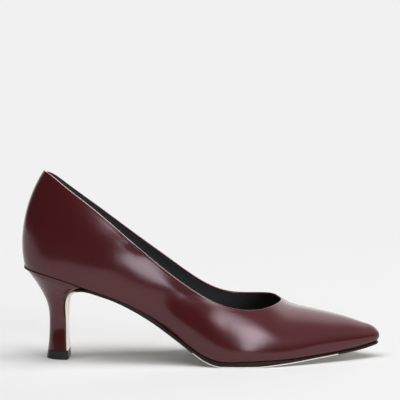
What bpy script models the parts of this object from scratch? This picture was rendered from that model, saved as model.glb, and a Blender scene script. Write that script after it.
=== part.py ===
"""Pointed-toe court shoe for the right foot, on a mid-height flared heel.

X runs from heel to toe, Y from the outer to the inner side of the foot, Z up from the floor.
Sizes are in millimetres, measured from the back of the shoe, until a mesh is made in metres.
"""
from collections import namedtuple
from math import cos, pi, sin

import bpy
import numpy as np

MM = 0.001

# Driving sizes
ORIGIN = (125.8, -1.4, 0.0)
UPPER_WALL = 1.6
SEAT_GAP = 0.3
INSOLE_THICKNESS = 1.8
INSOLE_ENDS = (0.985, 0.008)
THROAT_X = 181.8
THROAT_REACH = 35.0
SOLE_EDGE_CHAMFER = 0.6
SOLE_MARGIN = 1.2
SOLE_TOE_RUN = 0.996
WAIST_END_X = 49.0
HEEL_AXIS_SLOPE = 0.08
TOP_PIECE_HEIGHT = 5.9
TOP_PIECE_FLARE = 0.9
TOP_PIECE_FRONT_FLARE = 0.3
HEEL_CORNER_DEPTH = 0.92
HEEL_CORNER_WIDTH = 0.88

# Mesh counts
WALL_ROWS = 8
QUARTER_STEPS = 30
THROAT_STEPS = 7
VAMP_STEPS = 18
SOLE_STEPS = 46
FLAP_STEPS = 16
INSOLE_STEPS = 40
HEEL_LEVELS = 16
HEEL_ARC_STEPS = 11
HALVINGS = 40
SHARP_ANGLE = 0.6

# Side view of the sole: bed is the line where the upper meets it, tread is its underside
SoleLine = namedtuple("SoleLine", "x bed tread")
SOLE_LINE = (
    SoleLine(0.0, 66.1, 66.0),
    SoleLine(18.0, 62.0, 61.0),
    SoleLine(34.0, 57.3, 55.5),
    SoleLine(49.0, 51.9, 49.9),
    SoleLine(63.0, 47.0, 45.2),
    SoleLine(77.0, 41.0, 38.5),
    SoleLine(91.0, 32.9, 30.0),
    SoleLine(105.0, 22.6, 19.9),
    SoleLine(118.0, 13.0, 10.2),
    SoleLine(130.0, 6.3, 2.4),
    SoleLine(141.0, 3.7, -0.3),
    SoleLine(155.0, 4.0, -0.5),
    SoleLine(173.0, 4.4, 0.5),
    SoleLine(190.0, 4.8, 1.9),
    SoleLine(208.0, 5.8, 3.6),
    SoleLine(226.0, 7.3, 5.4),
    SoleLine(240.0, 9.2, 7.3),
    SoleLine(250.0, 11.3, 9.4),
)

# Sections of the last: feather line in plan, ridge point, and the bow of each side wall
Section = namedtuple(
    "Section",
    "x lateral medial ridge_x ridge_y ridge_z"
    " lateral_pull medial_pull lateral_rise medial_rise lateral_shoulder medial_shoulder",
)
LAST = (
    Section(1.6, 0.0, 0.0, 52.0, -2.0, 155.0, 8.0, 8.0, 0.40, 0.40, 0.70, 0.70),
    Section(3.9, -10.0, 9.4, 52.0, -2.0, 155.0, 8.0, 8.0, 0.40, 0.40, 0.70, 0.70),
    Section(10.0, -16.8, 15.2, 52.5, -2.0, 154.6, 7.0, 8.0, 0.40, 0.40, 0.70, 0.70),
    Section(20.0, -22.1, 18.9, 54.0, -2.0, 153.2, 5.4, 8.0, 0.40, 0.40, 0.69, 0.70),
    Section(32.0, -25.2, 20.2, 57.0, -2.0, 149.6, 4.2, 10.0, 0.40, 0.40, 0.68, 0.70),
    Section(48.0, -27.0, 19.4, 63.0, -2.0, 140.6, 3.8, 13.0, 0.40, 0.40, 0.69, 0.70),
    Section(64.0, -27.5, 17.2, 71.0, -2.0, 126.4, 3.7, 17.0, 0.41, 0.40, 0.72, 0.70),
    Section(80.0, -27.6, 15.2, 83.0, -2.0, 109.2, 3.7, 20.0, 0.42, 0.40, 0.73, 0.70),
    Section(97.0, -28.2, 14.6, 97.0, -2.0, 91.8, 4.4, 21.0, 0.42, 0.42, 0.71, 0.70),
    Section(113.0, -31.0, 17.0, 113.0, -1.0, 77.8, 4.0, 18.0, 0.36, 0.44, 0.69, 0.68),
    Section(128.0, -34.8, 21.8, 128.0, 0.0, 66.8, 3.1, 13.5, 0.29, 0.44, 0.80, 0.66),
    Section(143.0, -37.2, 27.8, 143.0, 1.5, 58.2, 2.8, 10.0, 0.24, 0.44, 0.81, 0.64),
    Section(158.0, -37.4, 32.6, 158.0, 2.5, 52.2, 2.5, 8.0, 0.24, 0.42, 0.79, 0.64),
    Section(172.0, -35.6, 34.6, 172.0, 3.0, 47.4, 2.6, 7.0, 0.26, 0.42, 0.76, 0.62),
    Section(186.0, -31.8, 33.6, 186.0, 3.0, 39.1, 4.2, 7.0, 0.34, 0.44, 0.67, 0.58),
    Section(200.0, -26.0, 29.8, 200.0, 3.0, 34.9, 6.6, 7.5, 0.44, 0.48, 0.58, 0.55),
    Section(213.0, -20.2, 24.2, 212.5, 2.6, 32.2, 7.4, 7.4, 0.50, 0.50, 0.55, 0.55),
    Section(226.0, -14.2, 17.8, 224.5, 2.2, 29.3, 6.6, 6.6, 0.50, 0.50, 0.55, 0.55),
    Section(237.0, -8.9, 12.0, 234.0, 1.6, 26.4, 5.9, 5.9, 0.50, 0.50, 0.55, 0.55),
    Section(245.0, -4.4, 6.8, 239.5, 1.2, 24.4, 5.3, 5.3, 0.48, 0.48, 0.55, 0.55),
    Section(248.6, -1.6, 3.8, 241.5, 1.0, 23.7, 5.8, 5.8, 0.46, 0.46, 0.55, 0.55),
    Section(249.6, 1.0, 1.0, 242.0, 1.0, 23.5, 6.2, 6.2, 0.45, 0.45, 0.55, 0.55),
)

# Side view of the collar's two edges
Collar = namedtuple("Collar", "x lateral medial")
COLLAR = (
    Collar(8.0, 131.6, 131.6),
    Collar(17.0, 131.4, 130.4),
    Collar(28.0, 125.7, 122.7),
    Collar(50.0, 109.0, 106.0),
    Collar(77.0, 86.3, 86.8),
    Collar(104.0, 63.8, 67.3),
    Collar(119.0, 53.0, 56.3),
    Collar(134.0, 44.4, 47.3),
    Collar(150.0, 39.3, 42.7),
    Collar(163.0, 38.2, 42.5),
    Collar(172.0, 39.1, 43.1),
    Collar(178.4, 40.4, 42.9),
    Collar(181.8, 41.2, 41.2),
    Collar(200.0, 49.0, 35.0),
)

# Sole flap down the breast: its face against the heel, its face to the front, and its turn in plan
Flap = namedtuple("Flap", "back_x back_z front_x front_z half_width skew")
FLAP = (
    Flap(43.6, 52.0, 44.0, 50.4, 21.6, 0.01),
    Flap(38.7, 50.8, 39.6, 49.4, 18.0, 0.02),
    Flap(34.6, 47.6, 35.6, 46.7, 14.6, 0.03),
    Flap(31.9, 43.0, 33.0, 42.5, 11.6, 0.04),
    Flap(31.0, 36.0, 32.1, 36.0, 8.6, 0.04),
    Flap(31.0, 26.0, 32.0, 26.0, 6.0, 0.04),
    Flap(31.1, 15.0, 32.1, 15.0, 6.8, 0.04),
    Flap(31.4, 6.3, 32.4, 6.3, 7.7, 0.04),
)

# Heel block, from its foot to its seat: ends of each section in the side view
HeelSection = namedtuple(
    "HeelSection", "back_x back_z front_x front_z half_width squareness skew"
)
HEEL = (
    HeelSection(17.5, 6.2, 31.1, 6.2, 8.7, 2.4, 0.04),
    HeelSection(18.4, 15.0, 30.8, 15.0, 7.4, 2.4, 0.04),
    HeelSection(18.8, 26.0, 30.7, 26.0, 6.4, 2.3, 0.04),
    HeelSection(18.0, 36.5, 30.7, 36.0, 9.2, 2.2, 0.04),
    HeelSection(14.5, 45.8, 31.5, 43.2, 12.6, 2.2, 0.04),
    HeelSection(9.5, 54.4, 34.2, 48.1, 17.0, 2.3, 0.03),
    HeelSection(4.9, 61.0, 38.3, 51.2, 21.0, 2.4, 0.02),
    HeelSection(2.7, 63.6, 43.3, 52.4, 22.8, 2.4, 0.01),
    HeelSection(1.6, 65.5, 44.0, 53.7, 23.3, 2.4, 0.0),
)


def spline(knots, rows):
    """Natural cubic spline through rows of values."""
    x = np.asarray(knots, float)
    y = np.asarray(rows, float)
    step = np.diff(x)
    count = len(x)
    system = np.eye(count)
    kinks = np.zeros_like(y)
    for i in range(1, count - 1):
        system[i, i - 1:i + 2] = step[i - 1], 2 * (step[i - 1] + step[i]), step[i]
        kinks[i] = 6 * ((y[i + 1] - y[i]) / step[i] - (y[i] - y[i - 1]) / step[i - 1])
    bend = np.linalg.solve(system, kinks)

    def value(t):
        i = min(max(int(np.searchsorted(x, t)) - 1, 0), count - 2)
        a = (x[i + 1] - t) / step[i]
        b = (t - x[i]) / step[i]
        curve = (a ** 3 - a) * bend[i] + (b ** 3 - b) * bend[i + 1]
        return a * y[i] + b * y[i + 1] + curve * step[i] ** 2 / 6

    return value


def chord_lengths(points):
    """Distance run along a chain of points."""
    hops = np.linalg.norm(np.diff(np.asarray(points, float), axis=0), axis=1)
    return np.concatenate(([0.0], np.cumsum(hops)))


def swapped(section):
    """The same section with its two sides exchanged."""
    return section._replace(
        lateral=section.medial,
        medial=section.lateral,
        lateral_pull=section.medial_pull,
        medial_pull=section.lateral_pull,
        lateral_rise=section.medial_rise,
        medial_rise=section.lateral_rise,
        lateral_shoulder=section.medial_shoulder,
        medial_shoulder=section.lateral_shoulder,
    )


def last_curve():
    """Section of the last at any run along the feather line, carried smoothly round heel and toe."""
    run = chord_lengths([(s.x, (s.medial - s.lateral) / 2) for s in LAST])
    end = run[-1]
    behind = [swapped(s) for s in LAST[2:0:-1]]
    beyond = [swapped(s) for s in LAST[-2:-4:-1]]
    knots = np.concatenate((-run[2:0:-1], run, 2 * end - run[-2:-4:-1]))
    value = spline(knots, behind + list(LAST) + beyond)
    return lambda u: Section(*value(u * end))


section_at = last_curve()
sole_value = spline([row.x for row in SOLE_LINE], [row[1:] for row in SOLE_LINE])
collar_value = spline([row.x for row in COLLAR], [row[1:] for row in COLLAR])


def bed(x):
    return sole_value(x)[0]


def tread(x):
    return max(sole_value(x)[1], 0.0)


def run_where(column, target):
    """Run along the last at which a rising column reaches a value."""
    low, high = 0.1, 1.0
    for _ in range(HALVINGS):
        middle = (low + high) / 2
        if getattr(section_at(middle), column) < target:
            low = middle
        else:
            high = middle
    return (low + high) / 2


def wall_point(u, side, v, depth):
    """Point of the last's surface, v from the feather line up to the ridge, depth into the wall."""
    s = section_at(u)
    foot = np.array((s.x, getattr(s, side)))
    ridge = np.array((s.ridge_x, s.ridge_y))
    pull = getattr(s, side + "_pull")
    rise = getattr(s, side + "_rise")
    shoulder = getattr(s, side + "_shoulder")
    floor = bed(s.x)
    width = np.linalg.norm(foot - ridge)
    height = s.ridge_z - floor
    corners = np.array((
        (width, 0.0),
        (width + pull, rise * height),
        (shoulder * width, height),
        (0.0, height),
    ))
    w = 1 - v
    out, up = np.array((w ** 3, 3 * w * w * v, 3 * w * v * v, v ** 3)) @ corners
    along = np.array((w * w, 2 * w * v, v * v)) @ np.diff(corners, axis=0)
    along = along / np.linalg.norm(along)
    out -= along[1] * depth
    up += along[0] * depth
    plan = ridge + (foot - ridge) / width * out
    return np.array((plan[0], plan[1], floor + up))


def collar_share(u, side):
    """How far up its section a wall reaches before the collar's edge cuts it."""
    low, high = 0.0, 1.0
    for _ in range(HALVINGS):
        middle = (low + high) / 2
        x, _, z = wall_point(u, side, middle, 0.0)
        edge = collar_value(x)[0 if side == "lateral" else 1]
        if z < edge:
            low = middle
        else:
            high = middle
    return (low + high) / 2


def upper_stations():
    """Runs of the upper's sections, closer together behind the throat, and the throat's index."""
    throat = run_where("ridge_x", THROAT_X)
    bend = run_where("ridge_x", THROAT_X - THROAT_REACH)
    quarter = np.linspace(0, bend, QUARTER_STEPS, endpoint=False)
    share = np.linspace(1, 0, THROAT_STEPS, endpoint=False)
    opening = throat - (throat - bend) * share ** 2
    vamp = np.linspace(throat, 1, VAMP_STEPS + 1)
    runs = np.concatenate((quarter, opening, vamp))
    return runs, QUARTER_STEPS + THROAT_STEPS


def make_material(name, colour, roughness):
    material = bpy.data.materials.new(name)
    material.use_nodes = True
    shader = material.node_tree.nodes["Principled BSDF"]
    shader.inputs["Base Color"].default_value = (*colour, 1.0)
    shader.inputs["Roughness"].default_value = roughness
    shader.inputs["Metallic"].default_value = 0.0
    return material


def add_object(name, points, faces, material):
    """One named, smooth-shaded solid, moved so that its origin is under the shoe's middle."""
    mesh = bpy.data.meshes.new(name)
    moved = (np.asarray(points, float) - ORIGIN) * MM
    mesh.from_pydata(moved.tolist(), [], faces)
    mesh.validate()
    mesh.shade_smooth()
    mesh.set_sharp_from_angle(angle=SHARP_ANGLE)
    mesh.materials.append(material)
    piece = bpy.data.objects.new(name, mesh)
    bpy.context.collection.objects.link(piece)
    return piece


def loft(name, rings, material):
    """Closed solid through rings of equal count, with ends closed by strips between ring sides."""
    count = len(rings[0])
    points = [point for ring in rings for point in ring]
    faces = []
    for level in range(len(rings) - 1):
        first = level * count
        for i in range(count):
            j = (i + 1) % count
            faces.append((first + i, first + j, first + count + j, first + count + i))
    top = (len(rings) - 1) * count
    for i in range(count // 2 - 1):
        j = count - 1 - i
        faces.append((i, j, j - 1, i + 1))
        faces.append((top + i, top + i + 1, top + j - 1, top + j))
    return add_object(name, points, faces, material)


def build_upper():
    """Hollow wall of the last, open at the collar and underneath."""
    runs, throat = upper_stations()
    last_index = len(runs) - 1
    points = []
    index = {}

    def vertex(station, row, side, layer):
        """Index of a wall point; the two sides share heel back, toe tip and ridge."""
        on_ridge = row == WALL_ROWS and station >= throat
        if station in (0, last_index) or on_ridge:
            side = "lateral"
        key = (station, row, side, layer)
        if key not in index:
            reach = 1.0 if station >= throat else collar_share(runs[station], side)
            depth = UPPER_WALL if layer == "inside" else 0.0
            index[key] = len(points)
            points.append(wall_point(runs[station], side, reach * row / WALL_ROWS, depth))
        return index[key]

    faces = []

    def add_quad(corners, reverse):
        faces.append(tuple(reversed(corners)) if reverse else tuple(corners))

    for side in ("lateral", "medial"):
        mirrored = side == "medial"
        for i in range(last_index):
            for row in range(WALL_ROWS):
                for layer in ("outside", "inside"):
                    corners = [
                        vertex(i, row, side, layer),
                        vertex(i + 1, row, side, layer),
                        vertex(i + 1, row + 1, side, layer),
                        vertex(i, row + 1, side, layer),
                    ]
                    add_quad(corners, mirrored != (layer == "inside"))
            edges = [0] + ([WALL_ROWS] if i < throat else [])
            for row in edges:
                corners = [
                    vertex(i, row, side, "outside"),
                    vertex(i + 1, row, side, "outside"),
                    vertex(i + 1, row, side, "inside"),
                    vertex(i, row, side, "inside"),
                ]
                add_quad(corners, mirrored != (row == 0))
    leather = make_material("upper_leather", (0.115, 0.022, 0.03), 0.32)
    return add_object("upper", points, faces, leather)


def feather_pair(u, margin):
    """Lateral and medial points of the feather line in plan, moved out by a margin."""
    s = section_at(u)
    ridge = np.array((s.ridge_x, s.ridge_y))
    pair = []
    for y in (s.lateral, s.medial):
        foot = np.array((s.x, y))
        outward = (foot - ridge) / np.linalg.norm(foot - ridge)
        pair.append(foot + margin * outward)
    return pair


def build_insole():
    """Footbed plate just inside the upper's wall."""
    rings = []
    for u in np.linspace(*INSOLE_ENDS, INSOLE_STEPS):
        floor = bed(section_at(u).x)
        lateral, medial = feather_pair(u, -UPPER_WALL - SEAT_GAP)
        rings.append([
            (*lateral, floor),
            (*lateral, floor + INSOLE_THICKNESS),
            (*medial, floor + INSOLE_THICKNESS),
            (*medial, floor),
        ])
    lining = make_material("insole_lining", (0.012, 0.011, 0.012), 0.5)
    return loft("insole", rings, lining)


def sole_rows():
    """Pairs of points through the sole, toe to waist and then down the heel's breast."""
    rows = []
    waist = run_where("x", WAIST_END_X)
    for u in np.linspace(SOLE_TOE_RUN, waist, SOLE_STEPS):
        lateral, medial = feather_pair(u, SOLE_MARGIN)
        x = (lateral[0] + medial[0]) / 2
        rows.append((x, bed(x) - SEAT_GAP, x, tread(x), lateral[1], medial[1], 0.0))
    for row in FLAP:
        middle = -HEEL_AXIS_SLOPE * row.back_x
        rows.append((*row[:4], middle - row.half_width, middle + row.half_width, row.skew))
    return np.array(rows)


def build_outsole():
    """One leather sole: forepart, waist, and the flap that covers the heel's breast."""
    rows = sole_rows()
    run = chord_lengths(rows[:, :2])
    value = spline(run, rows)
    flap_runs = np.linspace(run[SOLE_STEPS], run[-1], FLAP_STEPS)
    rings = []
    for t in np.concatenate((run[:SOLE_STEPS], flap_runs)):
        top_x, top_z, low_x, low_z, lateral, medial, skew = value(t)
        middle = (lateral + medial) / 2
        top = np.array((top_x, top_z))
        low = np.array((low_x, max(low_z, 0.0)))
        rise = (top - low) / np.linalg.norm(top - low) * SOLE_EDGE_CHAMFER
        inset = min(SOLE_EDGE_CHAMFER, (medial - lateral) / 4)
        outline = (
            (medial, top),
            (medial, low + rise),
            (medial - inset, low),
            (lateral + inset, low),
            (lateral, low + rise),
            (lateral, top),
        )
        rings.append([(at[0] + skew * (y - middle), y, at[1]) for y, at in outline])
    edge = make_material("outsole_leather", (0.55, 0.44, 0.32), 0.55)
    return loft("outsole", rings, edge)


def heel_half_outline(squareness):
    """Shares of depth and width from the heel's round back to the corner of its breast."""
    power = 2 / squareness
    half = []
    for i in range(HEEL_ARC_STEPS):
        angle = pi / 2 * (i + 0.5) / (HEEL_ARC_STEPS - 0.5)
        depth = HEEL_CORNER_DEPTH * (1 - cos(angle) ** power)
        half.append((depth, sin(angle) ** power))
    half.append((1.0, HEEL_CORNER_WIDTH))
    return half


def heel_ring(section, on_seat):
    """Outline of the heel: round at the back, straight across the breast."""
    half = heel_half_outline(section.squareness)
    ring = []
    for sign, outline in ((1, half[::-1]), (-1, half)):
        for share, width in outline:
            y = sign * width * section.half_width
            x = section.back_x + share * (section.front_x - section.back_x + section.skew * y)
            z = section.back_z + share * (section.front_z - section.back_z)
            if on_seat:
                z = bed(x) - SEAT_GAP
            ring.append((x, y - HEEL_AXIS_SLOPE * x, z))
    return ring


def build_heel():
    """Flared heel block with a hollow breast and a seat cut to the sole's bed."""
    run = np.linspace(0, 1, len(HEEL))
    value = spline(run, HEEL)
    levels = [HeelSection(*value(t)) for t in np.linspace(0, run[-2], HEEL_LEVELS)]
    rings = [heel_ring(level, False) for level in levels]
    rings.append(heel_ring(HEEL[-1], True))
    lacquer = make_material("heel_lacquer", (0.06, 0.012, 0.016), 0.28)
    return loft("heel", rings, lacquer)


def build_top_piece():
    """Wearing tip under the heel and its flap, slightly flared to the floor."""
    foot = HEEL[0]
    rings = []
    for z, flare in ((0.0, 1.0), (TOP_PIECE_HEIGHT, 0.0)):
        level = foot._replace(
            back_x=foot.back_x - flare * TOP_PIECE_FLARE,
            back_z=z,
            front_x=FLAP[-1].front_x + flare * TOP_PIECE_FRONT_FLARE,
            front_z=z,
            half_width=foot.half_width + flare * TOP_PIECE_FLARE,
        )
        rings.append(heel_ring(level, False))
    rubber = make_material("top_piece_rubber", (0.02, 0.02, 0.021), 0.6)
    return loft("top_piece", rings, rubber)


def main():
    for thing in list(bpy.data.objects):
        bpy.data.objects.remove(thing)
    build_upper()
    build_insole()
    build_outsole()
    build_heel()
    build_top_piece()


main()
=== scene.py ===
"""Looks of the pointed-toe court shoe: fine skins, finishes, studio and camera around its frame.

X runs from heel to toe, Y from the outer to the inner side of the foot, Z up from the floor.
Shapes are worked out in millimetres from the back of the shoe, and meshes are made in metres.
"""
from collections import namedtuple
from math import cos, pi, radians, sin

import bpy
import numpy as np
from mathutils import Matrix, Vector


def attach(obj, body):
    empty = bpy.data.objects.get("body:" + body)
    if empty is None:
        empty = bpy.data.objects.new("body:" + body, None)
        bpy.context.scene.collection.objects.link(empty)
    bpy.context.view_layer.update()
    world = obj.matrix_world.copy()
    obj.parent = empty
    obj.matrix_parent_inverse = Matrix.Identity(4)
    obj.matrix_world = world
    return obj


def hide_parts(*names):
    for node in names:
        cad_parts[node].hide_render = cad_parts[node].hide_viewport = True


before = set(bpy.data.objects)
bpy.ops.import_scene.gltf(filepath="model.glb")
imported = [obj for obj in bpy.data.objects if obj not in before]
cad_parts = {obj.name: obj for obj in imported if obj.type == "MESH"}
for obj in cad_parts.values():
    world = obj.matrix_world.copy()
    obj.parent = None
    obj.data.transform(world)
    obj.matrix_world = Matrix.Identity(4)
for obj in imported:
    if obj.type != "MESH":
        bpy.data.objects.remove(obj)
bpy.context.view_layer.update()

MM = 0.001

# Driving sizes of the shoe
ORIGIN = (125.8, -1.4, 0.0)
UPPER_WALL = 1.6
SEAT_GAP = 0.3
THROAT_X = 181.8
THROAT_REACH = 35.0
SOLE_MARGIN = 1.2
SOLE_TOE_RUN = 0.996
WAIST_END_X = 49.0
HEEL_AXIS_SLOPE = 0.08
TOP_PIECE_FLARE = 0.9
TOP_PIECE_FRONT_FLARE = 0.3

# Folded collar edge and the lining under it
ROLL_RADIUS = 0.6
ROLL_SQUARENESS = 3.2
# Roll steps that carry a painted highlight on the outer side's folded edge, and how far past the
# throat it runs
HIGHLIGHT_EDGE_STEPS = (3, 11)
HIGHLIGHT_EDGE_PAST_THROAT = 3
RIM_FADE = 12.0
FOLD_TROUGH_AT = 2.1
FOLD_TROUGH_WIDTH = 0.55
FOLD_TROUGH_DEPTH = 0.02
LINING_DROP = 1.4
LINING_DEPTHS = (1.65, 2.05)

# Sock on the insole
SOCK_MARGIN = 2.3
SOCK_THICKNESS = 1.9
SOCK_DISH = 0.9
SOCK_ENDS = (0.985, 0.008)

# Painted sole edge and its bare bevel; the bevel takes the edge paint under the waist, and toward
# the toe its dark paint is painted shade under the toe's spring
SOLE_TOP_INSET = 0.15
SOLE_TOP_SHARE = 0.25
SOLE_BEVEL_HEIGHT = 0.8
SOLE_BEVEL_INSET = 0.45
SOLE_BEVEL_BOW_INSET = 0.3
SOLE_BEVEL_BOW_HEIGHT = 0.35
SOLE_WIDTH_PARTS = 5
BARE_BEVEL_FROM_X = 120.0
# Where the bare bevel ends toward the toe: beyond it the bevel's dark paint is painted shade
BEVEL_SHADE_FROM_X = 222.0
FLAP_PAINT_TO_Z = 49.7

# Edge of the seat layer between upper and heel, a near-black band that is partly painted shade of
# the gap there
SEAT_EDGE_FRONT_X = 52.0
SEAT_EDGE_DEPTH = 3.0
SEAT_EDGE_MARGIN = 0.35
SEAT_EDGE_CLEARANCE = 0.05

# Mesh counts
WALL_ROWS = 56
ROW_CROWDING = 0.55
QUARTER_STEPS = 110
THROAT_STEPS = 30
VAMP_STEPS = 96
LINING_SHARE = 2
ROLL_STEPS = 16
SOLE_STEPS = 170
FLAP_STEPS = 60
SOCK_STEPS = 120
SOCK_ACROSS = 14
HEEL_LEVELS = 70
HEEL_ARC_STEPS = 34
SEAT_EDGE_STEPS = 120
HALVINGS = 40
RUN_PAST_HEEL = 0.1
SHARP_ANGLE = 0.6

# Side view of the sole: bed is the line where the upper meets it, tread is its underside
SoleLine = namedtuple("SoleLine", "x bed tread")
SOLE_LINE = (
    SoleLine(0.0, 66.1, 66.0),
    SoleLine(18.0, 62.0, 61.0),
    SoleLine(34.0, 57.3, 55.5),
    SoleLine(49.0, 51.9, 49.9),
    SoleLine(63.0, 47.0, 45.2),
    SoleLine(77.0, 41.0, 38.5),
    SoleLine(91.0, 32.9, 30.0),
    SoleLine(105.0, 22.6, 19.9),
    SoleLine(118.0, 13.0, 10.2),
    SoleLine(130.0, 6.3, 2.4),
    SoleLine(141.0, 3.7, -0.3),
    SoleLine(155.0, 4.0, -0.5),
    SoleLine(173.0, 4.4, 0.5),
    SoleLine(190.0, 4.8, 1.9),
    SoleLine(208.0, 5.8, 3.6),
    SoleLine(226.0, 7.3, 5.4),
    SoleLine(240.0, 9.2, 7.3),
    SoleLine(250.0, 11.3, 9.4),
)

# Sections of the last: feather line in plan, ridge point, and the bow of each side wall
Section = namedtuple(
    "Section",
    "x lateral medial ridge_x ridge_y ridge_z"
    " lateral_pull medial_pull lateral_rise medial_rise lateral_shoulder medial_shoulder",
)
LAST = (
    Section(1.6, 0.0, 0.0, 52.0, -2.0, 155.0, 8.0, 8.0, 0.40, 0.40, 0.70, 0.70),
    Section(3.9, -10.0, 9.4, 52.0, -2.0, 155.0, 8.0, 8.0, 0.40, 0.40, 0.70, 0.70),
    Section(10.0, -16.8, 15.2, 52.5, -2.0, 154.6, 7.0, 8.0, 0.40, 0.40, 0.70, 0.70),
    Section(20.0, -22.1, 18.9, 54.0, -2.0, 153.2, 5.4, 8.0, 0.40, 0.40, 0.69, 0.70),
    Section(32.0, -25.2, 20.2, 57.0, -2.0, 149.6, 4.2, 10.0, 0.40, 0.40, 0.68, 0.70),
    Section(48.0, -27.0, 19.4, 63.0, -2.0, 140.6, 3.8, 13.0, 0.40, 0.40, 0.69, 0.70),
    Section(64.0, -27.5, 17.2, 71.0, -2.0, 126.4, 3.7, 17.0, 0.41, 0.40, 0.72, 0.70),
    Section(80.0, -27.6, 15.2, 83.0, -2.0, 109.2, 3.7, 20.0, 0.42, 0.40, 0.73, 0.70),
    Section(97.0, -28.2, 14.6, 97.0, -2.0, 91.8, 4.4, 21.0, 0.42, 0.42, 0.71, 0.70),
    Section(113.0, -31.0, 17.0, 113.0, -1.0, 77.8, 4.0, 18.0, 0.36, 0.44, 0.69, 0.68),
    Section(128.0, -34.8, 21.8, 128.0, 0.0, 66.8, 3.1, 13.5, 0.29, 0.44, 0.80, 0.66),
    Section(143.0, -37.2, 27.8, 143.0, 1.5, 58.2, 2.8, 10.0, 0.24, 0.44, 0.81, 0.64),
    Section(158.0, -37.4, 32.6, 158.0, 2.5, 52.2, 2.5, 8.0, 0.24, 0.42, 0.79, 0.64),
    Section(172.0, -35.6, 34.6, 172.0, 3.0, 47.4, 2.6, 7.0, 0.26, 0.42, 0.76, 0.62),
    Section(186.0, -31.8, 33.6, 186.0, 3.0, 39.1, 4.2, 7.0, 0.34, 0.44, 0.67, 0.58),
    Section(200.0, -26.0, 29.8, 200.0, 3.0, 34.9, 6.6, 7.5, 0.44, 0.48, 0.58, 0.55),
    Section(213.0, -20.2, 24.2, 212.5, 2.6, 32.2, 7.4, 7.4, 0.50, 0.50, 0.55, 0.55),
    Section(226.0, -14.2, 17.8, 224.5, 2.2, 29.3, 6.6, 6.6, 0.50, 0.50, 0.55, 0.55),
    Section(237.0, -8.9, 12.0, 234.0, 1.6, 26.4, 5.9, 5.9, 0.50, 0.50, 0.55, 0.55),
    Section(245.0, -4.4, 6.8, 239.5, 1.2, 24.4, 5.3, 5.3, 0.48, 0.48, 0.55, 0.55),
    Section(248.6, -1.6, 3.8, 241.5, 1.0, 23.7, 5.8, 5.8, 0.46, 0.46, 0.55, 0.55),
    Section(249.6, 1.0, 1.0, 242.0, 1.0, 23.5, 6.2, 6.2, 0.45, 0.45, 0.55, 0.55),
)

# Side view of the collar's two edges
Collar = namedtuple("Collar", "x lateral medial")
COLLAR = (
    Collar(8.0, 133.0, 133.0),
    Collar(17.0, 132.7, 131.4),
    Collar(28.0, 125.7, 123.4),
    Collar(50.0, 109.0, 106.7),
    Collar(77.0, 86.3, 86.8),
    Collar(104.0, 63.8, 67.3),
    Collar(119.0, 53.0, 56.3),
    Collar(134.0, 44.4, 47.3),
    Collar(150.0, 39.3, 42.7),
    Collar(163.0, 38.2, 42.5),
    Collar(172.0, 39.1, 43.1),
    Collar(178.4, 40.4, 42.9),
    Collar(181.8, 41.2, 41.2),
    Collar(200.0, 49.0, 35.0),
)

# Sole flap down the breast: its face against the heel, its face to the front, and its turn in plan
Flap = namedtuple("Flap", "back_x back_z front_x front_z half_width skew")
FLAP = (
    Flap(43.6, 52.0, 44.0, 50.4, 21.6, 0.01),
    Flap(38.7, 50.8, 39.6, 49.4, 18.0, 0.02),
    Flap(34.6, 47.6, 35.6, 46.7, 14.6, 0.03),
    Flap(31.9, 43.0, 33.0, 42.5, 11.6, 0.04),
    Flap(31.0, 36.0, 32.1, 36.0, 8.6, 0.04),
    Flap(31.0, 26.0, 32.0, 26.0, 6.0, 0.04),
    Flap(31.1, 15.0, 32.1, 15.0, 6.8, 0.04),
    Flap(31.4, 6.3, 32.4, 6.3, 7.7, 0.04),
)

# Heel block, from its foot to its seat: ends of each section in the side view
HeelSection = namedtuple(
    "HeelSection", "back_x back_z front_x front_z half_width squareness skew"
)
HEEL = (
    HeelSection(17.5, 6.2, 31.1, 6.2, 8.7, 2.4, 0.04),
    HeelSection(18.4, 15.0, 30.8, 15.0, 7.4, 2.4, 0.04),
    HeelSection(18.8, 26.0, 30.7, 26.0, 6.4, 2.3, 0.04),
    HeelSection(18.0, 36.5, 30.7, 36.0, 9.2, 2.2, 0.04),
    HeelSection(14.5, 45.8, 31.5, 43.2, 12.6, 2.2, 0.04),
    HeelSection(9.5, 54.4, 34.2, 48.1, 17.0, 2.3, 0.03),
    HeelSection(4.9, 61.0, 38.3, 51.2, 21.0, 2.4, 0.02),
    HeelSection(2.7, 63.6, 43.3, 52.4, 22.8, 2.4, 0.01),
    HeelSection(1.6, 65.5, 44.0, 53.7, 23.3, 2.4, 0.0),
)
HEEL_CORNER_DEPTH = 0.92
HEEL_CORNER_WIDTH = 0.88

# Wearing tip from the floor up: share of its flare, and how far its edge is eased in
TipLevel = namedtuple("TipLevel", "z flare ease")
TIP_LEVELS = (
    TipLevel(0.0, 1.0, 0.3),
    TipLevel(0.3, 1.0, 0.0),
    TipLevel(5.7, 0.05, 0.0),
    TipLevel(5.9, 0.0, 0.2),
)

# Thickness of the seat layer's dark edge along the side view, thickest at the back where it stands
# in for the deeper shade of the gap
SeatEdge = namedtuple("SeatEdge", "x thickness")
SEAT_EDGE = (
    SeatEdge(0.0, 1.5),
    SeatEdge(8.0, 0.8),
    SeatEdge(20.0, 0.5),
    SeatEdge(38.0, 0.35),
    SeatEdge(52.0, 0.35),
)

# How far the outer quarter's edge eases outward along the collar
Flare = namedtuple("Flare", "x out")
FLARE = (
    Flare(0.0, 0.0),
    Flare(40.0, 0.0),
    Flare(55.0, 0.2),
    Flare(70.0, 0.4),
    Flare(84.0, 0.7),
    Flare(98.0, 0.9),
    Flare(112.0, 0.9),
    Flare(126.0, 0.8),
    Flare(142.0, 0.6),
    Flare(158.0, 0.3),
    Flare(172.0, 0.0),
    Flare(250.0, 0.0),
)
FLARE_REACH = 9.0

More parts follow.
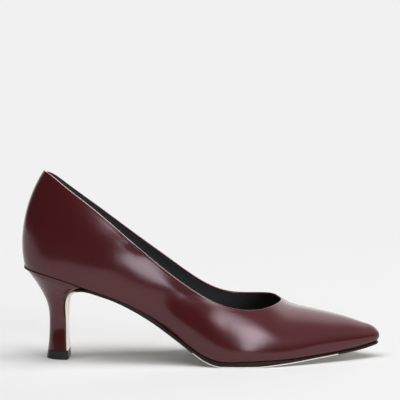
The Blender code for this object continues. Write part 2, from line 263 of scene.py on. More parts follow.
# Soft ridges and troughs of the outer side: middle in the side view, height outward, and spread
Swell = namedtuple("Swell", "x z out along up")
SWELLS = (
    Swell(14.0, 66.0, 0.9, 14.0, 12.0),
    Swell(58.0, 67.0, 0.3, 23.0, 9.0),
    Swell(83.0, 88.0, 1.6, 18.0, 9.0),
    Swell(102.0, 34.0, -1.8, 15.0, 32.0),
    Swell(124.0, 46.0, -1.8, 20.0, 9.0),
    Swell(115.0, 75.0, 2.2, 17.0, 36.0),
)
SWELL_FADE = 12.0

# Camera and studio, in metres in the shoe's own frame
CAMERA_AT = (-0.00105, -1.1486, 0.25035)
CAMERA_AIM = (-0.00105, 0.0014, 0.11145)
SENSOR_WIDTH = 36.0
CAMERA_LENS = 148.93
FLOOR_LEVEL = 0.88
FLOOR_ALBEDO = 0.8
FLOOR_GLOW = 0.06
FLAG_FRONT = -0.62
FLAG_HEIGHT = 0.003
FLAG_SHADE = 0.01
FLAG_ROUGHNESS = 0.9
GLOW_NEAR = 0.3
GLOW_FAR = 0.9
SWEEP_HALF_WIDTH = 6.0
SWEEP_FRONT = -5.0
SWEEP_BACK = 9.0
SWEEP_BEND = 0.8
SWEEP_HEIGHT = 1.3
SWEEP_STEPS = 24
ROOM_LEVEL = 0.06
SOFTBOX_AIM = (0.0, 0.0, 0.05)

# Softboxes that light matt surfaces: direction in degrees, distance and size in metres, radiance
Softbox = namedtuple("Softbox", "name azimuth elevation distance width height radiance")
SOFTBOXES = (
    Softbox("top_box", 8.0, 85.0, 9.0, 15.0, 5.6, 4.05),
    Softbox("back_box", 150.0, 15.0, 8.0, 5.8, 3.8, 2.5),
    Softbox("toe_box", 46.0, 12.0, 7.0, 3.0, 2.6, 8.0),
)

# Bright panel on the dome, mirrored by the shoe: its corners in turn, and the softness in degrees
# of the edge that runs from each corner to the next
Corner = namedtuple("Corner", "azimuth elevation softness")
KEY_PANEL = (
    Corner(6.0, 2.6, 1.0),
    Corner(12.5, 2.6, 3.5),
    Corner(35.0, 31.0, 9.0),
    Corner(16.0, 46.0, 3.5),
    Corner(6.4, 22.0, 3.5),
)
KEY_RADIANCE = 5.6
KEY_TINT = (1.0, 1.2, 1.27)
GLOSS_TINT = (1.0, 0.74, 0.8)
GLOSS_LEVEL = 0.68
FULL_GLOSS = 0.5
EDGE_GLOSS = 0.2
SEAT_GLOSS = 0.05

# Smooth patches of light on the dome round the studio: direction, inner and outer radius, radiance
Patch = namedtuple("Patch", "azimuth elevation inner outer radiance")
DOME = (
    Patch(157.0, 33.0, 12.0, 52.0, 1.9),
    Patch(15.0, 28.0, 2.0, 14.0, 1.5),
    Patch(62.0, 58.0, 12.0, 55.0, 0.5),
    Patch(100.0, 20.0, 8.0, 40.0, 0.5),
    Patch(-160.0, 15.0, 8.0, 40.0, 0.4),
)

# Grain of the leather as soft noise: how often per metre along each axis, and height in millimetres
Grain = namedtuple("Grain", "along across up height")
UPPER_GRAIN = (
    Grain(1500.0, 1500.0, 1500.0, 0.006),
    Grain(520.0, 520.0, 60.0, 0.010),
    Grain(45.0, 45.0, 45.0, 0.16),
)
GRAIN_DETAIL = 2.0


def spline(knots, rows):
    """Natural cubic spline through rows of values."""
    x = np.asarray(knots, float)
    y = np.asarray(rows, float)
    step = np.diff(x)
    count = len(x)
    system = np.eye(count)
    kinks = np.zeros_like(y)
    for i in range(1, count - 1):
        system[i, i - 1:i + 2] = step[i - 1], 2 * (step[i - 1] + step[i]), step[i]
        kinks[i] = 6 * ((y[i + 1] - y[i]) / step[i] - (y[i] - y[i - 1]) / step[i - 1])
    bend = np.linalg.solve(system, kinks)

    def value(t):
        i = min(max(int(np.searchsorted(x, t)) - 1, 0), count - 2)
        a = (x[i + 1] - t) / step[i]
        b = (t - x[i]) / step[i]
        curve = (a ** 3 - a) * bend[i] + (b ** 3 - b) * bend[i + 1]
        return a * y[i] + b * y[i + 1] + curve * step[i] ** 2 / 6

    return value


def chord_lengths(points):
    """Distance run along a chain of points."""
    hops = np.linalg.norm(np.diff(np.asarray(points, float), axis=0), axis=1)
    return np.concatenate(([0.0], np.cumsum(hops)))


def swapped(section):
    """The same section with its two sides exchanged."""
    return section._replace(
        lateral=section.medial,
        medial=section.lateral,
        lateral_pull=section.medial_pull,
        medial_pull=section.lateral_pull,
        lateral_rise=section.medial_rise,
        medial_rise=section.lateral_rise,
        lateral_shoulder=section.medial_shoulder,
        medial_shoulder=section.lateral_shoulder,
    )


def last_curve():
    """Section of the last at any run along the feather line, carried smoothly round heel and toe."""
    run = chord_lengths([(s.x, (s.medial - s.lateral) / 2) for s in LAST])
    end = run[-1]
    behind = [swapped(s) for s in LAST[2:0:-1]]
    beyond = [swapped(s) for s in LAST[-2:-4:-1]]
    knots = np.concatenate((-run[2:0:-1], run, 2 * end - run[-2:-4:-1]))
    value = spline(knots, behind + list(LAST) + beyond)
    return lambda u: Section(*value(u * end))


section_at = last_curve()
sole_value = spline([row.x for row in SOLE_LINE], [row[1:] for row in SOLE_LINE])
collar_value = spline([row.x for row in COLLAR], [row[1:] for row in COLLAR])
seat_edge_value = spline([row.x for row in SEAT_EDGE], [row[1:] for row in SEAT_EDGE])
flare_value = spline([row.x for row in FLARE], [row[1:] for row in FLARE])


def bed(x):
    """Height at which the upper meets the sole."""
    return sole_value(x)[0]


def tread(x):
    """Height of the sole's underside, never below the floor."""
    return max(sole_value(x)[1], 0.0)


def run_where(column, target):
    """Run along the last at which a rising column reaches a value."""
    low, high = RUN_PAST_HEEL, 1.0
    for _ in range(HALVINGS):
        middle = (low + high) / 2
        if getattr(section_at(middle), column) < target:
            low = middle
        else:
            high = middle
    return (low + high) / 2


def wall_line(u, side, shares, depth):
    """Points up one section of the last, by shares from the feather line to the ridge."""
    s = section_at(u)
    foot = np.array((s.x, getattr(s, side)))
    ridge = np.array((s.ridge_x, s.ridge_y))
    pull = getattr(s, side + "_pull")
    rise = getattr(s, side + "_rise")
    shoulder = getattr(s, side + "_shoulder")
    floor = bed(s.x)
    width = np.linalg.norm(foot - ridge)
    height = s.ridge_z - floor
    corners = np.array((
        (width, 0.0),
        (width + pull, rise * height),
        (shoulder * width, height),
        (0.0, height),
    ))
    v = np.atleast_1d(shares)
    w = 1 - v
    line = np.stack((w ** 3, 3 * w * w * v, 3 * w * v * v, v ** 3), axis=1) @ corners
    along = np.stack((w * w, 2 * w * v, v * v), axis=1) @ np.diff(corners, axis=0)
    along /= np.linalg.norm(along, axis=1)[:, None]
    out = line[:, 0] - along[:, 1] * depth
    up = line[:, 1] + along[:, 0] * depth
    plan = ridge + np.outer(out, (foot - ridge) / width)
    return np.column_stack((plan, floor + up))


def collar_share(u, side):
    """How far up its section a wall reaches before the collar's edge cuts it."""
    low, high = 0.0, 1.0
    for _ in range(HALVINGS):
        middle = (low + high) / 2
        x, _, z = wall_line(u, side, middle, 0.0)[0]
        edge = getattr(Collar(x, *collar_value(x)), side)
        if z < edge:
            low = middle
        else:
            high = middle
    return (low + high) / 2


def wall_runs(coarseness):
    """Runs of the wall's sections, closer together behind the throat, and the throat's index."""
    quarter_steps = QUARTER_STEPS // coarseness
    throat_steps = THROAT_STEPS // coarseness
    throat = run_where("ridge_x", THROAT_X)
    bend = run_where("ridge_x", THROAT_X - THROAT_REACH)
    quarter = np.linspace(0, bend, quarter_steps, endpoint=False)
    share = np.linspace(1, 0, throat_steps, endpoint=False)
    opening = throat - (throat - bend) * share ** 2
    vamp = np.linspace(throat, 1, VAMP_STEPS // coarseness + 1)
    return np.concatenate((quarter, opening, vamp)), quarter_steps + throat_steps


SIDES = ("lateral", "medial")
Wall = namedtuple("Wall", "runs throat rows reach")


def wall_layout(coarseness):
    """Where the wall's rows and sections lie, with how far each section reaches up."""
    runs, throat = wall_runs(coarseness)
    t = np.linspace(0, 1, WALL_ROWS // coarseness + 1)
    rows = t * (1 + ROW_CROWDING * (1 - t))
    reach = np.ones((2, len(runs)))
    for k, side in enumerate(SIDES):
        for i in range(throat):
            reach[k, i] = collar_share(runs[i], side)
    return Wall(runs, throat, rows, reach)


def eased_out(points):
    """Points of the outer side, eased outward close under the collar, with its soft swells."""
    eased = points.copy()
    for point in eased:
        x, y, z = point
        off_seam = min(abs(y) / SWELL_FADE, 1.0)
        below = max(collar_value(x)[0] - z, 0.0)
        share = max(1 - below / FLARE_REACH, 0.0)
        point[1] -= flare_value(x)[0] * share ** 2
        for swell in SWELLS:
            off = ((x - swell.x) / swell.along) ** 2 + ((z - swell.z) / swell.up) ** 2
            point[1] -= swell.out * off_seam * np.exp(-off)
    return eased


def wall_grid(wall, depth):
    """Points of the wall at a depth under its skin: side, section, row."""
    grid = np.zeros((2, len(wall.runs), len(wall.rows), 3))
    for k, side in enumerate(SIDES):
        for i, u in enumerate(wall.runs):
            grid[k, i] = wall_line(u, side, wall.reach[k, i] * wall.rows, depth)
    grid[0] = [eased_out(line) for line in grid[0]]
    return grid


def grid_numbers(wall):
    """Vertex numbers of a wall grid; the two sides share heel back, toe tip and ridge."""
    free = np.ones((2, len(wall.runs), len(wall.rows)), bool)
    free[1, 0] = False
    free[1, -1] = False
    free[1, wall.throat:, -1] = False
    number = np.zeros(free.shape, int)
    number[free] = np.arange(free.sum())
    number[1][~free[1]] = number[0][~free[1]]
    return number, free


def along_rim(grid, wall):
    """The top edge of a wall grid in one loop: heel back, outer side, throat, inner side."""
    outer_side = grid[0, :wall.throat + 1, -1]
    inner_side = grid[1, wall.throat - 1:0:-1, -1]
    return np.concatenate((outer_side, inner_side))


Rim = namedtuple("Rim", "points ups outs")


def unit(vectors):
    """Vectors of the same directions, each one long."""
    return vectors / np.linalg.norm(vectors, axis=-1, keepdims=True)


def collar_rim(wall):
    """The collar's edge with its directions out of the wall's end and out of its skin."""
    outside = along_rim(wall_grid(wall, 0.0), wall)
    inside = along_rim(wall_grid(wall, UPPER_WALL), wall)
    middle = (outside + inside) / 2
    forward = np.roll(middle, -1, axis=0) - np.roll(middle, 1, axis=0)
    outs = unit(outside - inside)
    ups = unit(np.cross(outs, forward))
    return Rim(outside, ups, outs)


def rim_distance(grid, rim):
    """Distance of each grid point from the collar's edge, and the nearest edge point's number."""
    distance = np.zeros(grid.shape[:3])
    nearest = np.zeros(grid.shape[:3], int)
    for k in range(grid.shape[0]):
        for i in range(grid.shape[1]):
            gaps = np.linalg.norm(grid[k, i][:, None] - rim.points[None], axis=2)
            nearest[k, i] = gaps.argmin(axis=1)
            distance[k, i] = gaps.min(axis=1)
    return distance, nearest


def drawn_from_rim(grid, rim, drop):
    """Wall grid with its edge drawn back from the collar's edge, fading further down."""
    distance, nearest = rim_distance(grid, rim)
    share = np.clip(1 - distance / RIM_FADE, 0, 1) ** 2
    return grid - rim.ups[nearest] * (drop * share)[..., None]


def grid_faces(number, reverse):
    """Quads of both sides of a wall grid."""
    faces = []
    for k in range(2):
        a = number[k, :-1, :-1]
        b = number[k, 1:, :-1]
        c = number[k, 1:, 1:]
        d = number[k, :-1, 1:]
        order = (a, b, c, d) if (k == 1) == reverse else (d, c, b, a)
        faces += np.stack(order, axis=-1).reshape(-1, 4).tolist()
    return faces


def strip_faces(first, second, closed):
    """Quads between two chains of vertex numbers of the same length."""
    count = len(first) if closed else len(first) - 1
    faces = []
    for i in range(count):
        j = (i + 1) % len(first)
        faces.append((first[i], first[j], second[j], second[i]))
    return faces


def foot_loop(number):
    """Vertex numbers along a wall grid's lowest row, once round the shoe."""
    return np.concatenate((number[0, :, 0], number[1, -2:0:-1, 0]))


def shell_mesh(wall, outside, inside, between):
    """Points and faces of a closed shell; between holds the loops that round its top edge."""
    number, free = grid_numbers(wall)
    count = int(free.sum())
    points = [outside[free], inside[free], *between]
    faces = grid_faces(number, False) + grid_faces(number + count, True)
    feet = foot_loop(number)
    faces += strip_faces(feet + count, feet, True)
    loops = [along_rim(number, wall)]
    start = 2 * count
    for loop in between:
        loops.append(np.arange(start, start + len(loop)))
        start += len(loop)
    loops.append(along_rim(number, wall) + count)
    for first, second in zip(loops, loops[1:]):
        faces += strip_faces(first, second, True)
    return np.concatenate(points), faces


def add_piece(name, points, faces, materials, finishes=None):
    """One named, smooth-shaded mesh in the shoe's own frame, riding on its one body."""
    mesh = bpy.data.meshes.new(name)
    moved = (np.asarray(points, float) - ORIGIN) * MM
    mesh.from_pydata(moved.tolist(), [], faces)
    for material in materials:
        mesh.materials.append(material)
    if finishes is not None:
        mesh.polygons.foreach_set("material_index", finishes)
    mesh.shade_smooth()
    mesh.set_sharp_from_angle(angle=SHARP_ANGLE)
    piece = bpy.data.objects.new(name, mesh)
    bpy.context.collection.objects.link(piece)
    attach(piece, "root")
    return piece


def loft_mesh(rings):
    """Points and faces through rings of equal count, closed, with the number of each face's side."""
    count = len(rings[0])
    points = np.concatenate([np.asarray(ring, float) for ring in rings])
    faces = []
    sides = []
    for level in range(len(rings) - 1):
        first = level * count
        for i in range(count):
            j = (i + 1) % count
            faces.append((first + i, first + j, first + count + j, first + count + i))
            sides.append(i)
    top = (len(rings) - 1) * count
    for i in range(count // 2 - 1):
        j = count - 1 - i
        faces.append((i, j, j - 1, i + 1))
        faces.append((top + i, top + i + 1, top + j - 1, top + j))
        sides += [0, 0]
    return points, faces, sides


def with_fold_trough(grid, rim):
    """Outer skin with the shallow trough where the folded edge ends."""
    distance, nearest = rim_distance(grid, rim)
    trough = FOLD_TROUGH_DEPTH * np.exp(-((distance - FOLD_TROUGH_AT) / FOLD_TROUGH_WIDTH) ** 2)
    return grid - rim.outs[nearest] * trough[..., None]


def collar_roll(first, second, rim):
    """Loops that round the collar's edge from the outer skin over to the inner one."""
    middle = (first + second) / 2
    half = (first - second) / 2
    power = 2 / ROLL_SQUARENESS
    roll = []
    for angle in np.linspace(0, pi, ROLL_STEPS + 1)[1:-1]:
        across = np.sign(cos(angle)) * abs(cos(angle)) ** power
        up = ROLL_RADIUS * sin(angle) ** power
        roll.append(middle + half * across + rim.ups * up)
    return roll


def upper_finishes(face_count, rim_count, throat):
    """Number of each face's finish: leather, and the painted highlight along the top of the outer
    side's folded rim.
    """
    leather_finish, highlight_finish = range(2)
    finishes = [leather_finish] * face_count
    first_roll = face_count - ROLL_STEPS * rim_count
    # Painted highlight on the top of the roll, along the outer side and just past the throat
    for step in range(*HIGHLIGHT_EDGE_STEPS):
        start = first_roll + step * rim_count
        for i in range(throat + HIGHLIGHT_EDGE_PAST_THROAT):
            finishes[start + i] = highlight_finish
    return finishes


def build_upper(leather, edge_highlight):
    """Leather shell of the last with its collar edge folded over in a soft round."""
    wall = wall_layout(1)
    rim = collar_rim(wall)
    outside = drawn_from_rim(wall_grid(wall, 0.0), rim, ROLL_RADIUS)
    inside = drawn_from_rim(wall_grid(wall, UPPER_WALL), rim, ROLL_RADIUS)
    outside = with_fold_trough(outside, rim)
    roll = collar_roll(along_rim(outside, wall), along_rim(inside, wall), rim)
    points, faces = shell_mesh(wall, outside, inside, roll)
    finishes = upper_finishes(len(faces), len(rim.points), wall.throat)
    piece = add_piece("upper_shell", points, faces, [leather, edge_highlight], finishes)
    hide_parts("upper")
    return piece


def build_lining(satin):
    """Thin lining inside the upper, ending a little under the folded edge."""
    wall = wall_layout(LINING_SHARE)
    rim = collar_rim(wall)
    skins = [drawn_from_rim(wall_grid(wall, depth), rim, LINING_DROP) for depth in LINING_DEPTHS]
    points, faces = shell_mesh(wall, *skins, [])
    piece = add_piece("collar_lining", points, faces, [satin])
    return piece


def feather_pair(u, margin):
    """Lateral and medial points of the feather line in plan, moved out by a margin."""
    s = section_at(u)
    ridge = np.array((s.ridge_x, s.ridge_y))
    pair = []
    for y in (s.lateral, s.medial):
        foot = np.array((s.x, y))
        outward = (foot - ridge) / np.linalg.norm(foot - ridge)
        pair.append(foot + margin * outward)
    return pair


def build_sock(satin):
    """Covered insole, dished a little across."""
    rings = []
    across = np.linspace(0, 1, SOCK_ACROSS)
    for u in np.linspace(*SOCK_ENDS, SOCK_STEPS):
        floor = bed(section_at(u).x)
        lateral, medial = feather_pair(u, -SOCK_MARGIN)
        dish = SOCK_DISH * (2 * across - 1) ** 4
        plan = [lateral + (medial - lateral) * t for t in across]
        top = [(*at, floor + SOCK_THICKNESS + rise) for at, rise in zip(plan, dish)]
        rings.append([(*lateral, floor)] + top + [(*medial, floor)])
    points, faces, _ = loft_mesh(rings)
    piece = add_piece("insole_sock", points, faces, [satin])
    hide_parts("insole")
    return piece


def sole_rows():
    """Pairs of points through the sole, toe to waist and then down the heel's breast."""
    rows = []
    waist = run_where("x", WAIST_END_X)
    for u in np.linspace(SOLE_TOE_RUN, waist, SOLE_STEPS):
        lateral, medial = feather_pair(u, SOLE_MARGIN)
        x = (lateral[0] + medial[0]) / 2
        rows.append((x, bed(x) - SEAT_GAP, x, tread(x), lateral[1], medial[1], 0.0))
    for row in FLAP:
        middle = -HEEL_AXIS_SLOPE * row.back_x
        rows.append((*row[:4], middle - row.half_width, middle + row.half_width, row.skew))
    return np.array(rows)


def sole_half_outline(width, thickness):
    """Half of the sole's cross-section: inset from its edge and height share, top to middle."""
    rise = min(SOLE_BEVEL_HEIGHT, thickness / 2) / thickness
    part = width / SOLE_WIDTH_PARTS
    inset = min(SOLE_BEVEL_INSET, part)
    return (
        (SOLE_TOP_INSET, 1.0),
        (0.0, 1.0 - SOLE_TOP_SHARE * (1 - rise)),
        (0.0, rise),
        (SOLE_BEVEL_BOW_INSET * inset, SOLE_BEVEL_BOW_HEIGHT * rise),
        (inset, 0.0),
        (inset / 2 + part, 0.0),
    )


def sole_rings():
    """Cross-sections of the sole from its toe to the foot of its flap."""
    rows = sole_rows()
    run = chord_lengths(rows[:, :2])
    value = spline(run, rows)
    flap_runs = np.linspace(run[SOLE_STEPS], run[-1], FLAP_STEPS)
    rings = []
    for t in np.concatenate((run[:SOLE_STEPS], flap_runs)):
        top_x, top_z, low_x, low_z, lateral, medial, skew = value(t)
        middle = (lateral + medial) / 2
        low = np.array((low_x, max(low_z, 0.0)))
        through = np.array((top_x, top_z)) - low
        half = sole_half_outline(medial - lateral, np.linalg.norm(through))
        ring = [(medial - inset, low + share * through) for inset, share in half]
        ring += [(lateral + inset, low + share * through) for inset, share in reversed(half)]
        rings.append([(at[0] + skew * (y - middle), y, at[1]) for y, at in ring])
    return rings


def sole_finishes(points, faces, sides):
    """Number of each face's finish: bare cut leather, the tread in a darker grey as painted shade
    under the shoe, or edge paint, which on the bevel toward the toe is painted shade.
    """
    cut, shaded_tread, painted = range(3)
    last = max(sides)
    edge = (0, 1, last - 2, last - 1, last)
    bevel = (2, 3, last - 4, last - 3)
    finishes = []
    for face, side in zip(faces, sides):
        x, _, z = points[face[0]]
        on_flap = x < WAIST_END_X and z < FLAP_PAINT_TO_Z
        # Bevel dark under the waist as edge paint, and toward the toe as painted shade
        bevel_paint_and_shade = not BARE_BEVEL_FROM_X <= x <= BEVEL_SHADE_FROM_X
        if on_flap:
            finishes.append(cut)
        elif side in edge or (bevel_paint_and_shade and side in bevel):
            finishes.append(painted)
        else:
            # Tread faces take the darker grey of painted shade
            finishes.append(cut if side in bevel else shaded_tread)
    return finishes


def build_outsole(cut_leather, shaded_tread, edge_paint_and_shade):
    """One leather sole: forepart, waist, and the flap that covers the heel's breast."""
    points, faces, sides = loft_mesh(sole_rings())
    finishes = sole_finishes(points, faces, sides)
    piece = add_piece("sole", points, faces, [cut_leather, shaded_tread, edge_paint_and_shade], finishes)
    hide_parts("outsole")
    return piece


def heel_half_outline(squareness):
    """Shares of depth and width from the heel's round back to the corner of its breast."""
    power = 2 / squareness
    half = []
    for i in range(HEEL_ARC_STEPS):
        angle = pi / 2 * (i + 0.5) / (HEEL_ARC_STEPS - 0.5)
        depth = HEEL_CORNER_DEPTH * (1 - cos(angle) ** power)
        half.append((depth, sin(angle) ** power))
    half.append((1.0, HEEL_CORNER_WIDTH))
    return half


def seat_floor(x):
    """Height of the heel's seat, under the seat layer's dark edge, which is partly painted shade."""
    return bed(x) - SEAT_GAP - seat_edge_value(x)[0]


def heel_ring(section, on_seat):
    """Outline of the heel: round at the back, straight across the breast."""
    half = heel_half_outline(section.squareness)
    ring = []
    for sign, outline in ((1, half[::-1]), (-1, half)):
        for share, width in outline:
            y = sign * width * section.half_width
            x = section.back_x + share * (section.front_x - section.back_x + section.skew * y)
            z = section.back_z + share * (section.front_z - section.back_z)
            if on_seat:
                z = seat_floor(x)
            ring.append((x, y - HEEL_AXIS_SLOPE * x, z))
    return ring


def build_heel(lacquer):
    """Flared heel block with a hollow breast and a seat cut to the sole's bed."""
    run = np.linspace(0, 1, len(HEEL))
    value = spline(run, HEEL)
    levels = [HeelSection(*value(t)) for t in np.linspace(0, run[-2], HEEL_LEVELS)]
    rings = [heel_ring(level, False) for level in levels]
    rings.append(heel_ring(HEEL[-1], True))
    points, faces, _ = loft_mesh(rings)
    piece = add_piece("heel_block", points, faces, [lacquer])
    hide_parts("heel")
    return piece


def build_top_piece(rubber):
    """Wearing tip under the heel and its flap, slightly flared to the floor."""
    foot = HEEL[0]
    rings = []
    for level in TIP_LEVELS:
        outline = foot._replace(
            back_x=foot.back_x - level.flare * TOP_PIECE_FLARE + level.ease,
            back_z=level.z,
            front_x=FLAP[-1].front_x + level.flare * TOP_PIECE_FRONT_FLARE - level.ease,
            front_z=level.z,
            half_width=foot.half_width + level.flare * TOP_PIECE_FLARE - level.ease,
        )
        rings.append(heel_ring(outline, False))
    points, faces, _ = loft_mesh(rings)
    piece = add_piece("heel_tip", points, faces, [rubber])
    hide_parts("top_piece")
    return piece


def build_seat_edge(seat_paint_and_shade):
    """Dark edge of the seat layer, a thin band round the heel seat between upper and heel, partly
    painted shade of the gap between them.
    """
    front = run_where("x", SEAT_EDGE_FRONT_X)
    rings = []
    for t in np.linspace(-1, 1, 2 * SEAT_EDGE_STEPS + 1):
        u = abs(t) * front
        pick = 0 if t < 0 else 1
        outer = feather_pair(u, SEAT_EDGE_MARGIN)[pick]
        inner = feather_pair(u, -SEAT_EDGE_DEPTH)[pick]
        x = section_at(u).x
        top = bed(x) - SEAT_EDGE_CLEARANCE
        low = top - SEAT_GAP - seat_edge_value(x)[0] + 2 * SEAT_EDGE_CLEARANCE
        rings.append([(*inner, low), (*outer, low), (*outer, top), (*inner, top)])
    points, faces, _ = loft_mesh(rings)
    piece = add_piece("seat_edge", points, faces, [seat_paint_and_shade])
    return piece


def plain_material(name, colour, roughness, gloss=FULL_GLOSS):
    """Even finish of one colour."""
    material = bpy.data.materials.new(name)
    material.use_nodes = True
    shader = material.node_tree.nodes["Principled BSDF"]
    shader.inputs["Base Color"].default_value = (*colour, 1.0)
    shader.inputs["Roughness"].default_value = roughness
    shader.inputs["Specular IOR Level"].default_value = gloss
    return material


def leather_material(name, colour, roughness, coat, coat_roughness, grains):
    """Smooth finished leather: a tinted base, a clear dressing, and fine soft grain."""
    material = plain_material(name, colour, roughness)
    nodes = material.node_tree.nodes
    links = material.node_tree.links
    shader = nodes["Principled BSDF"]
    shader.inputs["Specular Tint"].default_value = (*GLOSS_TINT, 1.0)
    shader.inputs["Specular IOR Level"].default_value = GLOSS_LEVEL
    shader.inputs["Coat Weight"].default_value = coat
    shader.inputs["Coat Roughness"].default_value = coat_roughness
    place = nodes.new("ShaderNodeTexCoord")
    height = None
    for grain in grains:
        stretch = nodes.new("ShaderNodeMapping")
        stretch.inputs["Scale"].default_value = grain[:3]
        links.new(place.outputs["Object"], stretch.inputs["Vector"])
        noise = nodes.new("ShaderNodeTexNoise")
        noise.inputs["Scale"].default_value = 1.0
        noise.inputs["Detail"].default_value = GRAIN_DETAIL
        links.new(stretch.outputs["Vector"], noise.inputs["Vector"])
        layer = nodes.new("ShaderNodeMath")
        layer.operation = "MULTIPLY_ADD"
        layer.inputs[1].default_value = grain.height * MM
        links.new(noise.outputs["Fac"], layer.inputs[0])
        if height is not None:
            links.new(height, layer.inputs[2])
        height = layer.outputs["Value"]
    bump = nodes.new("ShaderNodeBump")
    bump.inputs["Distance"].default_value = 1.0
    links.new(height, bump.inputs["Height"])
    links.new(bump.outputs["Normal"], shader.inputs["Normal"])
    return material


def build_flag():
    """Dark card in front of the lit floor, met only by mirror rays off the shoe."""
    sides = (-SWEEP_HALF_WIDTH, SWEEP_HALF_WIDTH)
    points = [(x, y, FLAG_HEIGHT) for y in (SWEEP_FRONT, FLAG_FRONT) for x in sides]
    mesh = bpy.data.meshes.new("studio_flag")
    mesh.from_pydata(points, [], [(0, 1, 3, 2)])
    mesh.materials.append(plain_material("studio_flag_black", (FLAG_SHADE,) * 3, FLAG_ROUGHNESS))
    flag = bpy.data.objects.new("studio_flag", mesh)
    flag.visible_camera = False
    flag.visible_diffuse = False
    flag.visible_shadow = False
    bpy.context.collection.objects.link(flag)


def build_sweep():
    """Pale studio floor that bends up behind into a backdrop."""
    profile = [(SWEEP_FRONT, 0.0), (SWEEP_BACK - SWEEP_BEND, 0.0)]
    for angle in np.linspace(0, pi / 2, SWEEP_STEPS):
        y = SWEEP_BACK - SWEEP_BEND + SWEEP_BEND * sin(angle)
        profile.append((y, SWEEP_BEND - SWEEP_BEND * cos(angle)))
    profile.append((SWEEP_BACK, SWEEP_HEIGHT))
    points = [(x, y, z) for y, z in profile for x in (-SWEEP_HALF_WIDTH, SWEEP_HALF_WIDTH)]
    faces = [(2 * i, 2 * i + 1, 2 * i + 3, 2 * i + 2) for i in range(len(profile) - 1)]
    mesh = bpy.data.meshes.new("studio_sweep")
    mesh.from_pydata(points, [], faces)
    mesh.shade_smooth()
    mesh.materials.append(sweep_material())
    sweep = bpy.data.objects.new("studio_sweep", mesh)
    bpy.context.collection.objects.link(sweep)


def sweep_material():
    """Matt pale paper, lit near the shoe and evenly bright further off."""
    material = bpy.data.materials.new("studio_paper")
    material.use_nodes = True
    nodes = material.node_tree.nodes
    links = material.node_tree.links
    nodes.clear()
    place = nodes.new("ShaderNodeTexCoord")
    reach = nodes.new("ShaderNodeVectorMath")
    reach.operation = "LENGTH"
    links.new(place.outputs["Object"], reach.inputs[0])
    far = nodes.new("ShaderNodeMapRange")
    far.interpolation_type = "SMOOTHSTEP"
    far.inputs["From Min"].default_value = GLOW_NEAR
    far.inputs["From Max"].default_value = GLOW_FAR
    links.new(reach.outputs["Value"], far.inputs["Value"])
    lit = nodes.new("ShaderNodeBsdfDiffuse")
    lit.inputs["Color"].default_value = (FLOOR_ALBEDO,) * 3 + (1.0,)
    low_glow = nodes.new("ShaderNodeEmission")
    low_glow.inputs["Strength"].default_value = FLOOR_GLOW
    near = nodes.new("ShaderNodeAddShader")
    links.new(lit.outputs[0], near.inputs[0])
    links.new(low_glow.outputs[0], near.inputs[1])
    even_glow = nodes.new("ShaderNodeEmission")
    even_glow.inputs["Strength"].default_value = FLOOR_LEVEL
    mix = nodes.new("ShaderNodeMixShader")
    links.new(far.outputs["Result"], mix.inputs["Fac"])
    links.new(near.outputs[0], mix.inputs[1])
    links.new(even_glow.outputs[0], mix.inputs[2])
    output = nodes.new("ShaderNodeOutputMaterial")
    links.new(mix.outputs[0], output.inputs["Surface"])
    return material


def toward(azimuth, elevation):
    """Direction from the shoe; azimuth 0 is on the outer side, 90 beyond the toe."""
    a = radians(azimuth)
    e = radians(elevation)
    return Vector((sin(a) * cos(e), -cos(a) * cos(e), sin(e)))


def build_softbox(box):
    """Area light that faces the shoe."""
    lamp = bpy.data.lights.new(box.name, "AREA")
    lamp.shape = "RECTANGLE"
    lamp.size = box.width
    lamp.size_y = box.height
    lamp.energy = pi * box.width * box.height * box.radiance
    light = bpy.data.objects.new(box.name, lamp)
    way = toward(box.azimuth, box.elevation)
    light.location = Vector(SOFTBOX_AIM) + way * box.distance
    light.rotation_euler = way.to_track_quat("Z", "Y").to_euler()
    light.visible_camera = False
    light.visible_glossy = False
    bpy.context.collection.objects.link(light)


def soft_step(nodes, links, place, way, low, high, top):
    """Light that rises smoothly as the looked-at direction nears a way; low and high are cosines."""
    facing = nodes.new("ShaderNodeVectorMath")
    facing.operation = "DOT_PRODUCT"
    facing.inputs[1].default_value = way
    links.new(place, facing.inputs[0])
    step = nodes.new("ShaderNodeMapRange")
    step.interpolation_type = "SMOOTHSTEP"
    step.inputs["From Min"].default_value = low
    step.inputs["From Max"].default_value = high
    step.inputs["To Max"].default_value = top
    links.new(facing.outputs["Value"], step.inputs["Value"])
    return step.outputs["Result"]


def combined(nodes, links, operation, levels):
    """One value from several, joined two at a time."""
    total = levels[0]
    for level in levels[1:]:
        join = nodes.new("ShaderNodeMath")
        join.operation = operation
        links.new(total, join.inputs[0])
        links.new(level, join.inputs[1])
        total = join.outputs["Value"]
    return total


def room_level(nodes, links, place):
    """Brightness of the dome's smooth patches over the dim room."""
    room = nodes.new("ShaderNodeValue")
    room.outputs["Value"].default_value = ROOM_LEVEL
    levels = [room.outputs["Value"]]
    for patch in DOME:
        way = toward(patch.azimuth, patch.elevation)
        low = cos(radians(patch.outer))
        high = cos(radians(patch.inner))
        levels.append(soft_step(nodes, links, place, way, low, high, patch.radiance))
    return combined(nodes, links, "ADD", levels)


def key_level(nodes, links, place):
    """Brightness of the key panel: inside every one of its soft edges."""
    levels = []
    for corner, following in zip(KEY_PANEL, KEY_PANEL[1:] + KEY_PANEL[:1]):
        first = toward(corner.azimuth, corner.elevation)
        second = toward(following.azimuth, following.elevation)
        inward = first.cross(second).normalized()
        soft = sin(radians(corner.softness))
        levels.append(soft_step(nodes, links, place, inward, -soft, soft, 1.0))
    panel = combined(nodes, links, "MULTIPLY", levels)
    power = nodes.new("ShaderNodeMath")
    power.operation = "MULTIPLY"
    power.inputs[1].default_value = KEY_RADIANCE
    links.new(panel, power.inputs[0])
    return power.outputs["Value"]


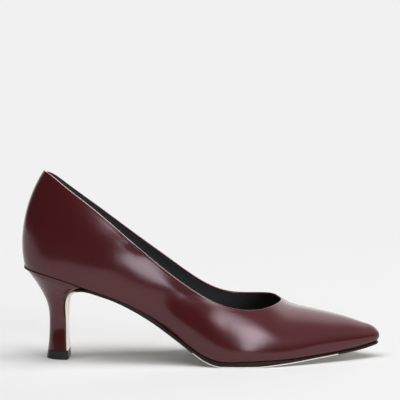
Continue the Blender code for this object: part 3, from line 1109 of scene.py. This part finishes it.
def build_world():
    """Dome of room and key light, met only by mirror rays; colours shown as they are."""
    world = bpy.data.worlds.new("studio_room")
    world.use_nodes = True
    nodes = world.node_tree.nodes
    links = world.node_tree.links
    place = nodes.new("ShaderNodeTexCoord").outputs["Generated"]
    room = nodes["Background"]
    room.inputs["Color"].default_value = (1.0, 1.0, 1.0, 1.0)
    links.new(room_level(nodes, links, place), room.inputs["Strength"])
    key = nodes.new("ShaderNodeBackground")
    key.inputs["Color"].default_value = (*KEY_TINT, 1.0)
    links.new(key_level(nodes, links, place), key.inputs["Strength"])
    both = nodes.new("ShaderNodeAddShader")
    links.new(room.outputs[0], both.inputs[0])
    links.new(key.outputs[0], both.inputs[1])
    links.new(both.outputs[0], nodes["World Output"].inputs["Surface"])
    world.cycles_visibility.diffuse = False
    bpy.context.scene.world = world
    bpy.context.scene.view_settings.view_transform = "Standard"


def build_camera():
    """Camera low on the outer side, as in the photograph."""
    camera = bpy.data.objects.new("camera", bpy.data.cameras.new("camera"))
    camera.data.lens = CAMERA_LENS
    camera.data.sensor_width = SENSOR_WIDTH
    camera.location = CAMERA_AT
    aim = Vector(CAMERA_AIM) - Vector(CAMERA_AT)
    camera.rotation_euler = aim.to_track_quat("-Z", "Y").to_euler()
    bpy.context.collection.objects.link(camera)
    bpy.context.scene.camera = camera


# Materials: colour, roughness, and for leather its clear coat
leather = leather_material("burgundy_leather", (0.066, 0.0078, 0.0094), 0.17, 0.0, 0.1, UPPER_GRAIN)
# Painted highlight: a pale pink band on the top of the outer side's folded edge
edge_highlight = plain_material("folded_edge_painted_highlight", (0.38, 0.27, 0.28), 0.3)
satin = plain_material("black_lining", (0.062, 0.064, 0.066), 0.45)
cut_leather = plain_material("bare_cut_leather", (0.97, 0.9, 0.8), 0.5)
# Painted shade: the tread's dull grey, darker than the cut leather, deepens the floor's shadow under
# the shoe
shaded_tread = plain_material("tread_painted_shade", (0.42, 0.385, 0.345), 0.5)
# Dark brown edge paint, also laid as painted shade on the bevel toward the toe
edge_paint_and_shade = plain_material("sole_edge_paint_and_toe_shade", (0.017, 0.0085, 0.007), 0.5, EDGE_GLOSS)
lacquer = leather_material("heel_leather", (0.066, 0.0078, 0.0098), 0.15, 0.05, 0.1, UPPER_GRAIN)
# Near-black seat edge: partly the seat layer's paint, partly painted shade of the gap between upper
# and heel
seat_paint_and_shade = plain_material("seat_edge_paint_and_shade", (0.006, 0.002, 0.002), 0.6, SEAT_GLOSS)
rubber = plain_material("tip_rubber_black", (0.015, 0.016, 0.016), 0.4)

# Pieces of the shoe
build_upper(leather, edge_highlight)
build_lining(satin)
build_sock(satin)
build_outsole(cut_leather, shaded_tread, edge_paint_and_shade)
build_heel(lacquer)
build_top_piece(rubber)
build_seat_edge(seat_paint_and_shade)

# Studio
build_sweep()
build_flag()
for box in SOFTBOXES:
    build_softbox(box)
build_world()
build_camera()
